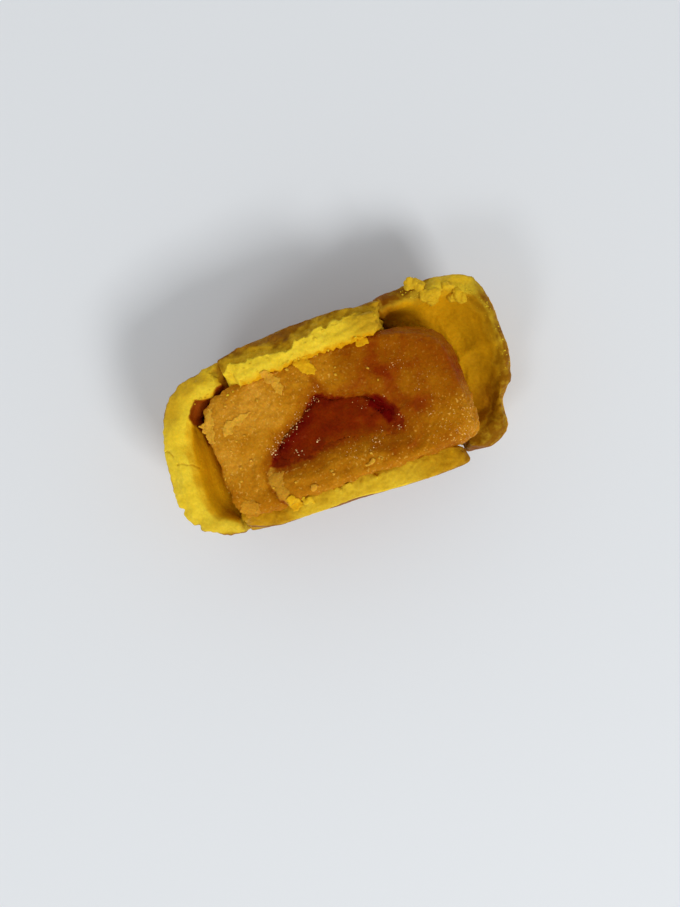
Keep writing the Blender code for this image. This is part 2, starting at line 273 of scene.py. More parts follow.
def mask(tree, name):
    return addNode(tree, "Attribute", {}, attribute_name=name).outputs["Fac"]


def combine(tree, operation, first, second):
    return addNode(tree, "Math", {0: first, 1: second}, operation=operation).outputs["Value"]


def blendColours(tree, share, first, second):
    sockets = {"Factor": share, 6: first, 7: second}
    return addNode(tree, "Mix", sockets, data_type="RGBA").outputs[2]


def shaded(tree, colour, amount):
    sockets = {0: colour, "Scale": amount}
    return addNode(tree, "VectorMath", sockets, operation="SCALE").outputs["Vector"]


def colourScale(tree, value, stops):
    scale = addNode(tree, "ValToRGB", {"Fac": value})
    elements = scale.color_ramp.elements
    while len(elements) < len(stops):
        elements.new(0.5)
    for element, (place, colour) in zip(elements, stops):
        element.position = place
        element.color = colour
    return scale.outputs["Color"]


def finishShader(shader, look, colour, roughness):
    # Mottles the colour, and adds what is the same all over the material and its finest relief
    tree = shader.id_data
    mottled = shaded(tree, colour, clouds(tree, *look["fine"]))
    tree.links.new(mottled, shader.inputs["Base Color"])
    tree.links.new(roughness, shader.inputs["Roughness"])
    shader.inputs["Specular IOR Level"].default_value = look["gloss"]
    shader.inputs["Specular Tint"].default_value = look["sheen"]
    shader.inputs["Subsurface Weight"].default_value = look["glow"]
    shader.inputs["Subsurface Radius"].default_value = look["glowReach"]
    shader.inputs["Subsurface Scale"].default_value = look["glowDepth"] * mm
    coarse, fine = look["relief"]
    below = {"Distance": coarse[2] * mm, "Height": grain(tree, *coarse[:2])}
    below = addNode(tree, "Bump", below).outputs["Normal"]
    above = {"Distance": fine[2] * mm, "Height": grain(tree, *fine[:2]), "Normal": below}
    tree.links.new(addNode(tree, "Bump", above).outputs["Normal"], shader.inputs["Normal"])


pastryFinish = {
    "crumb": tone(240, 208, 54),         # freshly broken shortcrust
    "crumbDeep": tone(230, 194, 42),
    "inside": tone(220, 161, 12),        # where the crust lay against the filling
    "soaked": tone(138, 48, 4),          # painted shade deep in the gaps, cracks and hollows
    "olive": tone(136, 86, 3),           # the denser layer under the skin, and painted shade on faces turned from the light
    "side": tone(206, 148, 26),          # the cake's paler baked sides
    "browned": tone(122, 68, 18),        # its browned top and underside
    "gloss": 0.15,
    "sheen": (1.0, 0.75, 0.2, 1.0),      # colour of its buttery highlights
    "glow": 0.25,                        # share of the light that goes through it
    "glowReach": (1.0, 0.7, 0.15),       # and how far each colour goes, with the depth in mm
    "glowDepth": 0.7,
    "fine": (0.4, 3.0, 0.89, 1.07),                     # size in mm, detail, darkest and palest
    "relief": ((0.6, 3.0, 0.08), (0.25, 2.0, 0.04)),    # size in mm, detail and depth in mm
}


def pastryMaterial():
    look = pastryFinish
    material, shader = newMaterial("custardPastry")
    tree = material.node_tree
    soft = remap(tree, grain(tree, 3.0, 4.0), 0.36, 0.64)
    colour = blendColours(tree, soft, look["crumb"], look["crumbDeep"])
    colour = blendColours(tree, mask(tree, "inside"), colour, look["inside"])
    # Olive: the denser layer under the skin, and painted shade
    patches = remap(tree, grain(tree, 1.3, 4.0), 0.34, 0.66, 0.75, 1.15)
    olive = combine(tree, "MULTIPLY", patches, mask(tree, "olive"))
    colour = blendColours(tree, olive, colour, look["olive"])
    browning = combine(tree, "ADD", clouds(tree, 2.2, 6.0, -0.2, 0.2), mask(tree, "browned"))
    baked = blendColours(tree, browning, look["side"], look["browned"])
    colour = blendColours(tree, mask(tree, "skin"), colour, baked)
    # Painted shade: gaps, cracks and hollows darkened towards dark reddish brown
    colour = blendColours(tree, mask(tree, "soaked"), colour, look["soaked"])
    finishShader(shader, look, colour, clouds(tree, 1.1, 3.0, 0.55, 0.8))
    return material


# From dry crumbly custard to custard soaked with molten core, and last the painted shade of the hole
moistureScale = (
    (0.0, tone(214, 152, 44)),
    (0.2, tone(192, 128, 22)),
    (0.4, tone(172, 106, 9)),
    (0.6, tone(150, 80, 3)),
    (0.72, tone(140, 60, 3)),
    (0.82, tone(126, 38, 3)),
    (0.92, tone(112, 24, 4)),
    (1.0, tone(100, 3, 3)),
)

custardFinish = {
    "fleck": tone(235, 181, 80),
    "flake": tone(222, 166, 50),
    "gloss": 0.1,
    "sheen": (1.0, 0.5, 0.12, 1.0),      # colour of its wet highlights
    "glow": 0.2,
    "glowReach": (1.0, 0.3, 0.03),
    "glowDepth": 0.8,
    "fine": (0.3, 3.0, 0.86, 1.11),
    "relief": ((0.6, 4.0, 0.1), (0.22, 3.0, 0.05)),
}
moltenFinish = {
    "gloss": 0.14,
    "sheen": (1.0, 0.3, 0.08, 1.0),
    "glow": 0.2,
    "glowReach": (1.0, 0.12, 0.02),
    "glowDepth": 0.8,
    "fine": (0.3, 3.0, 0.84, 1.12),
    "relief": ((0.6, 4.0, 0.09), (0.22, 3.0, 0.05)),
}


def custardMaterial():
    material, shader = newMaterial("custardFilling")
    tree = material.node_tree
    moisture = mask(tree, "moisture")
    cloudy = combine(tree, "ADD", moisture, clouds(tree, 1.5, 5.0, -0.08, 0.08))
    colour = colourScale(tree, cloudy, moistureScale)
    colour = blendColours(tree, mask(tree, "flake"), colour, custardFinish["flake"])
    flecks = remap(tree, grain(tree, 0.4, 1.5), 0.61, 0.7, 0.0, 0.7)
    flecks = combine(tree, "MULTIPLY", flecks, mask(tree, "crumbly"))
    colour = blendColours(tree, flecks, colour, custardFinish["fleck"])
    wetness = remap(tree, moisture, 0.3, 0.8, 0.6, 0.25)
    wetness = combine(tree, "ADD", wetness, clouds(tree, 0.8, 3.0, -0.1, 0.14))
    finishShader(shader, custardFinish, colour, wetness)
    return material


def moltenMaterial():
    material, shader = newMaterial("moltenCore")
    tree = material.node_tree
    cloudy = combine(tree, "ADD", mask(tree, "moisture"), clouds(tree, 1.5, 5.0, -0.06, 0.06))
    colour = colourScale(tree, cloudy, moistureScale)
    finishShader(shader, moltenFinish, colour, clouds(tree, 0.9, 3.0, 0.18, 0.42))
    return material


pastry = pastryMaterial()
custard = custardMaterial()
molten = moltenMaterial()


# The three pieces of crust

crustShape = {
    "halfLength": 25.6,
    "halfWidth": 13.6,
    "squareness": 4.0,
    "softening": 5,          # rounds of softening once a piece is bent
    "walls": 5.0,            # mm from the middle line, past which the two long walls lie
}

leftLook = {
    "voxel": 0.26,
    "softening": 2,          # rounds of softening before it is bent
    "fineTop": (18.0, 0.3),  # faces above this height that face up this much are divided
    "lump": (2.6, 0.28),     # size and height of the broken face's relief, in mm
    "crumb": (0.8, 0.05),
    "pebble": (1.0, 0.03),
    "skinWave": (4.0, 0.3),
    "insideWave": (3.0, 0.2),
    "seed": 1.0,
    # Where the rim ends and the inner slope starts, and the hollow at the slope's upper end
    "shoulder": ((-15.0, 9.8), (-14.9, 8.6), (-15.6, 8.0), (-16.1, 7.3), (-16.9, 7.8), (-17.6, 7.7),
        (-18.3, 7.4), (-18.9, 7.0), (-19.8, 5.8), (-20.3, 4.5), (-20.6, 3.1), (-20.8, 1.4), (-21.1, -0.3),
        (-21.3, -2.0), (-21.4, -3.7), (-21.1, -5.6), (-20.6, -7.3), (-19.8, -8.6), (-18.9, -9.3),
        (-17.5, -10.0), (-12.0, -10.0), (-12.0, 9.8)),
    "pit": ((-18.3, 8.2), (-16.8, 7.7), (-16.0, 7.6), (-14.9, 8.8), (-13.5, 9.0), (-14.0, 7.0),
        (-16.6, 6.5), (-17.9, 5.2), (-18.3, 4.2), (-18.4, 2.0), (-19.2, 1.6), (-19.5, 3.9), (-19.9, 5.3),
        (-19.9, 6.4), (-19.2, 7.4)),
    "cracks": (((-25.8, 2.8), (-24.5, 2.9), (-24.1, 2.5), (-23.9, 1.9)),
        ((-23.7, 0.6), (-23.0, 0.5), (-22.4, 0.0), (-21.8, -0.1), (-21.1, -0.9))),
    "corner": (-20.6, 10.2),     # the upper left corner, and where the upper broken end lies in x
    "brokenEnd": -14.8,
    "lean": 0.8,                 # mm that the corner leans out, and the depths of nicks and cracks
    "nickDepth": 0.5,
    "crackDepth": 0.18,
    "nicks": ((-25.1, 5.0), (-25.8, 2.6), (-25.9, -5.6), (-24.2, -8.4)),
}
troughLook = {
    "voxel": 0.3,
    "softening": 2,
    "fineTop": (17.0, 0.25),
    "lump": (1.6, 0.3),
    "crumb": (0.6, 0.14),
    "pebble": (0.9, 0.1),
    "skinWave": (5.0, 0.3),
    "insideWave": (3.0, 0.12),
    "seed": 2.0,
    # Where the bright crumb of the upper strip steps down to the denser layer outside it
    "step": ((-15.2, 9.6), (-13.0, 10.1), (-12.1, 10.7), (-11.2, 10.6), (-8.4, 10.4), (-6.1, 10.1),
        (-4.2, 9.8), (-3.1, 9.9), (-2.5, 10.5), (-0.5, 10.5), (0.9, 11.2), (3.1, 11.1), (4.9, 11.3),
        (6.7, 11.2), (9.4, 10.7)),
    "stepTop": 22.8,
    "stepFoot": 21.8,
    "upperWall": 8.7,        # mm from the middle line to the inner face of each long wall
    "lowerWall": 10.9,
    # The undersides of the two strips' lips, how much they swell, and how far they reach over the filling
    "upperLipFoot": 22.3,
    "lowerLipFoot": 22.0,
    "lipSwell": 0.25,
    "upperLip": ((-14.8, 7.2), (-13.7, 7.2), (-13.2, 7.0), (-11.9, 7.4), (-10.3, 7.6), (-8.7, 7.9),
        (-7.2, 8.2), (-3.6, 8.3), (-0.1, 8.1), (2.7, 7.9), (4.4, 7.8), (5.7, 8.0), (7.7, 7.9),
        (9.2, 7.8)),
    "lowerLip": ((-12.8, -10.9), (-11.6, -11.1), (-7.7, -10.7), (-4.6, -10.4), (-2.2, -10.2), (0.1, -10.4),
        (2.5, -10.2), (4.8, -10.5), (7.2, -10.5), (9.4, -10.8), (11.7, -11.1), (13.5, -11.3)),
}
rightLook = {
    "voxel": 0.27,
    "softening": 2,
    "fineTop": (9.0, 0.2),
    "lump": (1.8, 0.28),
    "crumb": (0.6, 0.06),
    "pebble": (0.9, 0.05),
    "skinWave": (4.5, 0.3),
    "insideWave": (5.0, 0.3),
    "seed": 3.0,
    "shoulder": ((9.0, 10.6), (11.4, 11.2), (12.6, 10.9), (14.6, 10.9), (16.5, 10.4), (18.6, 10.4),
        (20.6, 9.7), (22.3, 8.3), (23.7, 6.0), (24.0, 3.1), (24.0, 0.2), (23.5, -2.4), (22.5, -4.9),
        (21.5, -6.8), (20.5, -8.4), (19.2, -9.3), (17.8, -10.2), (16.3, -11.0), (14.0, -12.5),
        (9.0, -10.0)),
    "notch": (23.4, -8.1),
    "notchDepth": 0.7,
    "knob": ((18.7, 12.0), (19.2, 12.9), (20.7, 13.1), (22.6, 12.4), (23.6, 11.5), (24.1, 10.5),
        (23.7, 10.0), (22.0, 11.0), (20.0, 11.5)),
}


def outwardFrom(points):
    # Which way is out of the cup, in plan
    power = crustShape["squareness"] - 1.0
    x, y = points[:, 0] / crustShape["halfLength"], points[:, 1] / crustShape["halfWidth"]
    out = np.stack([np.sign(x) * np.abs(x) ** power / crustShape["halfLength"],
                    np.sign(y) * np.abs(y) ** power / crustShape["halfWidth"]], axis=1)
    return out / np.maximum(np.hypot(*out.T), 1e-9)[:, None]


def facingOut(points, normals):
    # 1 where a face looks straight out of the cup, -1 where it looks straight in
    return (normals[:, :2] * outwardFrom(points)).sum(axis=1)


def pushOut(points, distance):
    points[:, :2] += outwardFrom(points) * distance[:, None]


def crustSides(points, normals):
    # How far each point belongs to the baked skin, to the inside, and to the broken faces
    facing = facingOut(points, normals)
    under = ramp(0.3, 0.7, -normals[:, 2]) * ramp(7.0, 4.0, points[:, 2])
    skin = np.maximum(ramp(0.6, 0.9, facing) * ramp(0.5, 0.2, normals[:, 2]), under)
    floor = ramp(0.4, 0.8, normals[:, 2]) * ramp(8.5, 6.5, points[:, 2])
    inside = np.clip(np.maximum(ramp(0.2, 0.85, -facing), floor) - skin, 0.0, 1.0)
    return skin, inside, np.clip(1.0 - skin - inside, 0.0, 1.0)


# The filling's sides, which the inside of the crust lies against
fillingSides = surfaceTree(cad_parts["filling"])


def closeGap(points, share):
    # Draws the crust up to the filling low down, so that no slit is left between them
    for index in np.nonzero(share > 0.01)[0]:
        found = fillingSides.find_nearest(Vector(points[index]))
        place, gap = np.array(found[0]), found[3]
        if gap > 0.1:
            pull = share[index] * ramp(3.6, 2.4, gap) * (gap - 0.1) / gap
            points[index] += (place - points[index]) * pull
    return points


def roughenCrust(piece, points, look):
    # Evens out the points again, finer on top, and gives each side its own relief
    movePoints(piece, points)
    voxelSkin(piece, look["voxel"], crustShape["softening"])
    divideTop(piece, *look["fineTop"])
    points, normals = pointsOf(piece), normalsOf(piece)
    skin, inside, broken = crustSides(points, normals)

    def relief(share, layer, own):
        size, height = look[layer]
        return share * height * lumps(points, size, look["seed"] + own)

    push = relief(broken, "lump", 0.0) + relief(broken, "crumb", 1.0)
    size, height = look["pebble"]
    push += broken * height * (pebbles(points, size, look["seed"]) - 0.35)
    push += relief(skin, "skinWave", 2.0)
    push += skin * 0.05 * lumps(points, 0.8, look["seed"] + 4.0)
    push += relief(inside, "insideWave", 3.0)
    return points + normals * push[:, None], normals, skin, inside, broken


def finishCrust(piece, points, normals, node, skin, inside, olive, soaked):
    points[:, 2] = np.maximum(points[:, 2], 0.0)
    movePoints(piece, points)
    # The long sides are the cake's browned top and underside, and the short ends its paler walls
    browned = np.abs(normals[:, 1]) + 0.25 * lumps(points, 3.0, 25.0) + 0.4 * ramp(16.5, 20.0, points[:, 2])
    browned = 0.9 * ramp(0.3, 0.95, browned)
    paint(piece, skin=skin, browned=browned, inside=inside, olive=olive, soaked=soaked)
    dress(piece, pastry, "pastry_crust", node)
    return piece


def leftCrust():
    look = leftLook
    piece = skinOfNode("crust_left", "leftCrust", look)
    points, normals = pointsOf(piece), normalsOf(piece)
    x, y, z = points.T.copy()
    facing = facingOut(points, normals)
    # The upper left corner leans out a little further, and the rim over the hollow ends in a torn edge
    lean = ramp(4.5, 1.0, planDistance(x, y, look["corner"])) * ramp(0.0, 0.5, facing) * ramp(8.0, 15.0, z)
    pushOut(points, look["lean"] * lean)
    torn = ripples(flat(points), (0.5, 1.5, 67.0), (0.35, 0.6, 68.0)) * ramp(0.0, 0.5, -facing)
    pushOut(points, torn * ramp(17.0, 18.5, z) * ramp(3.0, 5.0, y))
    slit = ramp(0.2, 0.7, -facing) * ramp(18.4, 16.2, z) * ramp(5.0, 8.0, z) * ramp(6.0, 4.5, y)
    points = closeGap(points, slit)
    points, normals, skin, inside, broken = roughenCrust(piece, points, look)
    x, y, z = points.T.copy()
    # The rim's outer edge is scalloped and nicked, and two fine cracks run in from it
    rim = ramp(17.5, 19.5, z)
    edge = rim * ramp(0.2, 0.6, facingOut(points, normals))
    scallops = ripples(flat(points), (0.3, 1.9, 61.0), (0.16, 0.7, 62.0)) - 0.15 * ramp(6.0, 2.0, np.abs(y))
    pushOut(points, edge * scallops)
    for spot in look["nicks"]:
        pushOut(points, -look["nickDepth"] * edge * ramp(0.6, 0.1, planDistance(x, y, spot)))
    crack = np.zeros(len(points))
    wander = 0.12 * lumps(flat(points), 0.5, 65.0)
    for path in look["cracks"]:
        crack = np.maximum(crack, rim * ramp(0.16, 0.02, distanceToPath(points, path) + wander))
    points[:, 2] -= look["crackDepth"] * crack
    # The broken end by the upper crack reaches on below the rim, so that no daylight shows through
    onWalls = np.abs(y) > crustShape["walls"]
    closing = ramp(-15.6, -14.6, x) * ramp(20.4, 19.4, z) * onWalls
    points[:, 0] += 1.2 * closing
    end = ramp(-16.8, -15.2, x) * ramp(17.0, 19.0, z) * onWalls
    points[:, 0] += end * ripples(points, (0.7, 1.4, 27.0), (0.4, 0.6, 28.0))
    # Painted shade darkens the slope gently towards the filling, and only the hollow at its upper end gets
    # the dark painted shade, which also lies low in the gap, in the cracks and at the broken end by the upper
    # crack
    ragged = ripples(flat(points), (0.3, 1.2, 66.0), (0.15, 0.5, 69.0))
    down = insideOutline(points, look["shoulder"]) + ragged
    inward = ramp(-0.1, 0.3, -facingOut(points, normals))
    slope = (1.0 - skin) * ramp(-0.6, 0.5, down) * np.maximum(inward, ramp(19.5, 18.5, z))
    inPit = insideOutline(points, look["pit"]) + 0.5 * ragged
    points[:, 2] -= ramp(0.0, 0.45, inPit) * ramp(17.0, 18.5, z) * (1.0 - skin)
    soaked = most(0.5 * inside * ramp(12.0, 9.0, z), 0.95 * ramp(-0.1, 0.15, inPit) * (1.0 - skin),
                  0.25 * crack, np.where(y > crustShape["walls"], 0.7, 0.25) * closing)
    corner = ramp(-0.1, 0.5, facingOut(points, normals)) * ramp(6.5, 3.0, planDistance(x, y, look["corner"]))
    # Olive painted shade on the upper corner, which faces away from the light, on the lower side, along the
    # broken end and on the slope near the filling; the rim is a little darker low down too
    olive = most(0.05 * slope * ramp(1.0, 3.2, down), 0.1 * ramp(20.0, 18.6, z) * broken * (1.0 - slope),
                 0.28 * ramp(-6.0, -9.5, y) * broken, 0.2 * corner * (1.0 - skin),
                 0.3 * ramp(0.5, 0.15, np.abs(x - look["brokenEnd"])) * broken)
    golden = np.maximum(0.5 * corner, 0.3 * ramp(-17.0, -14.5, x) * ramp(-5.0, -8.0, y)) * broken
    inside = most(inside, slope, golden)
    return finishCrust(piece, points, normals, "crust_left", skin, inside, olive, soaked)


def troughCrust():
    look, walls = troughLook, crustShape["walls"]
    piece = skinOfNode("crust_trough", "troughCrust", look)
    points = pointsOf(piece)
    x, y, z = points.T       # these three follow the points as they move
    # The lips of both strips reach over the filling
    lip = ramp(21.7, 22.3, z) * ramp(10.6, 9.0, y) * (y > walls)
    lipEnd = alongPath(x, look["upperLip"]) + 0.35 * lumps(flat(points), 1.2, 71.0)
    lipEnd += 0.2 * lumps(flat(points), 0.5, 72.0)
    points[:, 1] -= lip * (look["upperWall"] - lipEnd)
    points[:, 2] = np.where(lip > 0.05, np.maximum(z, look["upperLipFoot"] + look["lipSwell"] * lip), z)
    lowLip = ramp(21.2, 21.8, z) * ramp(-12.6, -11.4, y) * (y < -walls) * ramp(-11.8, -10.8, x)
    lowLipEnd = alongPath(x, look["lowerLip"]) + 0.3 * lumps(flat(points), 1.4, 75.0)
    points[:, 1] += lowLip * np.maximum(0.0, lowLipEnd + look["lowerWall"])
    points[:, 2] = np.where(lowLip > 0.05, np.maximum(z, look["lowerLipFoot"] + look["lipSwell"] * lowLip), z)
    # Below them the walls close up to the filling, and the right half of the lower strip leans out
    wall = np.where(y > 0.0, 8.5, 10.8 + 0.06 * np.maximum(0.0, x))
    close = ramp(15.5, 17.0, z) * ramp(1.8, 0.5, np.abs(y) - wall) * (np.abs(y) > walls) * (1.0 - lip)
    points[:, 1] -= np.sign(y) * 0.9 * close
    points[:, 1] -= 0.7 * ramp(-2.0, 8.0, x) * ramp(12.0, 18.0, z) * ramp(-11.6, -12.6, y)
    points, normals, skin, inside, broken = roughenCrust(piece, points, look)
    x, y, z = points.T.copy()
    upper, lower = y > walls, y < -walls
    # The inner edges of both strips are torn
    tear = ripples(points, (0.55, 1.5, 77.0), (0.4, 0.6, 78.0))
    points[:, 1] += (tear - 0.15) * ramp(0.2, 0.7, -normals[:, 1]) * ramp(20.6, 21.4, z) * upper
    points[:, 1] += (tear + 0.3) * ramp(0.2, 0.7, normals[:, 1]) * ramp(20.6, 21.2, z) * lower
    points[:, 0] += 1.2 * tear * ramp(8.0, 9.0, x) * ramp(15.0, 17.0, z) * upper
    # The upper strip's bright crumb steps down to a denser layer
    past = y - alongPath(x, look["step"]) + ripples(flat(points), (0.6, 1.5, 21.0), (0.35, 0.6, 22.0))
    top = ramp(19.0, 20.2, z) * ramp(0.15, 0.5, normals[:, 2]) * ramp(9.0, 9.8, y) * upper
    wanted = np.where(past > 0.0, look["stepFoot"] - 0.5 * past, look["stepTop"])
    crumbs = 0.45 * lumps(points, 1.8, 23.0) + 0.26 * (pebbles(flat(points), 1.0, 23.0) - 0.3)
    wanted += crumbs + 0.12 * lumps(points, 0.5, 26.0)
    points[:, 2] += 0.8 * top * (wanted - z)
    # That layer is mustard brown and partly painted shade, as it faces away from the light; painted shade
    # darkens it more towards the right, and a dark skin lies at its very edge
    outer = ramp(-0.1, 0.3, past) * ramp(17.0, 19.0, z) * (1.0 - skin) * upper
    olive = outer * (0.2 + 0.25 * ramp(-6.0, 4.0, x) + 0.55 * ramp(0.5, 1.9, past))
    olive *= 0.7 + 0.6 * ramp(-0.25, 0.25, lumps(points, 1.2, 24.0))
    # Painted shade on the upper strip's right part
    rightPart = ramp(3.0, 8.0, x) * broken * upper
    rind = ramp(1.5, 2.1, past) * broken * upper
    # The lower strip is golden and worn down at its left end; painted shade darkens it a little all along,
    # more at both ends and most at its right end
    ends = np.maximum(ramp(-10.5, -12.6, x), ramp(4.0, 12.0, x))
    golden = (0.25 + 0.6 * ends) * lower * broken
    darker = (0.34 + 0.24 * ends + 0.4 * ramp(12.5, 14.5, x)) * lower * broken
    olive = most(olive, 0.5 * rightPart, darker)
    # Painted shade low in the gap and at the upper strip's left end by the crack
    soaked = most(ramp(16.0, 8.0, z) * inside, 0.2 * ramp(-13.0, -13.9, x) * ramp(22.0, 20.5, z) * upper)
    inside = most(inside, 0.6 * outer, 0.4 * rightPart, golden)
    skin = skin * (1.0 - ramp(18.8, 19.8, z + 0.9 * tear) * lower)
    skin = np.maximum(skin, 0.85 * rind)
    return finishCrust(piece, points, normals, "crust_trough", skin, inside, olive, soaked)


def rightCrust():
    look = rightLook
    piece = skinOfNode("crust_right", "rightCrust", look)
    points, normals = pointsOf(piece), normalsOf(piece)
    x, y, z = points.T.copy()
    facing = facingOut(points, normals)
    slit = ramp(0.1, 0.6, -facing) * ramp(13.2, 12.0, z) * ramp(5.0, 8.0, z) * (x > 11.0)
    points = closeGap(points, slit)
    notch = ramp(3.0, 0.6, planDistance(x, y, look["notch"])) * ramp(7.0, 10.0, z)
    pushOut(points, -look["notchDepth"] * notch * ramp(-0.6, 0.2, facing))
    points, normals, skin, inside, broken = roughenCrust(piece, points, look)
    x, y, z = points.T.copy()
    facing = facingOut(points, normals)
    pushOut(points, broken * ripples(flat(points), (0.25, 2.2, 63.0), (0.14, 0.8, 64.0)))
    # The bowl is amber with painted shade towards the rim's wall and its lower end; the rim is bright crumb
    # at the upper end and mustard brown painted shade at the lower one and on its outer faces
    ragged = ripples(flat(points), (0.5, 1.6, 73.0), (0.2, 0.6, 74.0))
    bowl = (1.0 - skin) * ramp(-0.5, 0.6, insideOutline(points, look["shoulder"]) + ragged)
    low = ramp(3.0, -2.0, y + ragged)
    lowest = ramp(-2.0, -6.5, y + ragged)
    bright = ramp(7.5, 9.5, y + ragged) * ramp(15.5, 17.5, x)
    rimShade = 0.74 - 0.56 * bright + 0.15 * low + 0.35 * lowest + 0.35 * ramp(0.0, 0.6, facing)
    bowlShade = 0.36 * ramp(18.5, 22.0, x) + 0.15 * low + 0.25 * lowest
    olive = np.maximum((1.0 - bowl) * rimShade, bowl * bowlShade)
    # The knob at its upper corner is bare crumb
    knob = ramp(-0.5, 0.3, insideOutline(points, look["knob"]) + 0.5 * ragged)
    knob = knob * ramp(15.0, 16.6, z + 2.0 * ragged) * (1.0 - bowl)
    olive *= 1.0 - 0.9 * knob
    # Painted shadow at the upper arm's end by the filling's corner, and painted shade low in the bowl's lower
    # end
    soaked = 0.5 * ramp(15.0, 11.0, x + ragged) * (y > 0.0) * np.maximum(bowl, 0.6)
    soaked = np.maximum(soaked, 0.3 * bowl * lowest)
    inside = most(0.8 * inside, bowl, 0.4 * knob)
    return finishCrust(piece, points, normals, "crust_right", skin * (1.0 - knob), inside, olive, soaked)


leftPiece = leftCrust()
troughPiece = troughCrust()
rightPiece = rightCrust()


# The custard filling

hollowOutline = ((-12.0, -4.6), (-9.7, -1.3), (-6.6, 0.6), (-4.1, 2.2), (-2.0, 3.2), (-0.9, 2.2), (1.0, 1.4),
                 (3.9, 1.0), (6.0, -0.6), (7.7, -3.0), (7.8, -5.0), (7.0, -6.5), (3.4, -5.6), (-0.2, -4.6),
                 (-3.5, -4.4), (-6.0, -5.2), (-9.4, -4.5))

fillingLook = {
    "voxel": 0.33,
    "softening": 5,
    "fineTop": (17.5, -0.2),
    # The broken left edge of the thicker layer along the face's lower side
    "ledge": ((-11.9, -4.3), (-12.5, -5.1), (-12.9, -6.1), (-12.9, -7.0), (-12.4, -8.0), (-12.1, -9.2),
        (-11.4, -9.9), (-11.5, -10.9)),
    "ledgeBack": ((-4.0, -11.5), (-4.0, -5.0), (-11.0, -4.6)),
    "tail": ((-2.4, 3.0), (-1.8, 3.5), (-1.8, 4.2), (-2.1, 5.2)),
    "upperCrease": ((7.0, 6.2), (6.3, 4.3), (6.9, 3.0), (7.5, 0.8), (7.8, -1.0), (8.6, -2.3), (9.9, -3.3)),
    "lowerCrease": ((10.2, -3.6), (9.9, -5.7), (9.3, -7.2), (8.4, -8.6)),
    "palePatch": ((9.7, 2.0), (11.6, 1.1), (11.0, -0.9), (10.3, -2.3), (8.7, -1.7), (8.6, 0.0)),
    "holeFloor": 20.5,
    "shoreTop": 22.35,       # where the slope down to the pool starts, and how far it drops
    "shoreDrop": 1.7,
}

# How the molten core has soaked the custard round it, and where the hole's painted shade lies
soakLook = {
    "stain": 0.84,           # how soaked the pool is, and the custard just outside it
    "fringe": 0.66,
    # The dark stain, sharp along its left and upper edge and fading out along its lower one
    "upperEdge": ((-11.8, -4.2), (-11.1, -3.2), (-10.2, -2.4), (-9.3, -1.7), (-8.2, -1.1), (-7.1, -0.6),
        (-5.9, 0.4), (-4.6, 1.4), (-3.4, 2.5), (-2.5, 3.1), (-1.6, 2.7), (-0.7, 2.0), (1.0, 1.2),
        (3.7, 0.4), (5.2, 0.1), (6.4, -0.9), (7.8, -3.0), (7.8, -4.8), (7.3, -6.2)),
    "lowerEdge": ((7.3, -6.2), (5.8, -5.8), (4.9, -4.9), (3.0, -4.9), (1.0, -4.6), (-0.7, -4.4),
        (-2.4, -4.7), (-4.5, -4.8), (-5.7, -5.1), (-7.4, -5.2), (-9.0, -5.0), (-10.8, -4.9),
        (-11.8, -4.2)),
    "hole": ((3.8, -1.2), (4.3, -0.5), (5.2, -0.2), (5.7, -0.9), (6.4, -1.7), (7.1, -2.8), (6.6, -4.1),
        (5.7, -4.5), (5.3, -3.5), (4.9, -2.6), (4.3, -1.9)),
    "warm": ((1.4, -5.6), (6.0, -6.0), (8.3, -7.4), (8.6, -9.0), (6.8, -9.8), (4.2, -9.1), (1.3, -7.4)),
}

# The slow wander of every border on the face: height, size and seed
wanderLayers = ((0.6, 2.4, 31.0), (0.4, 0.8, 32.0))


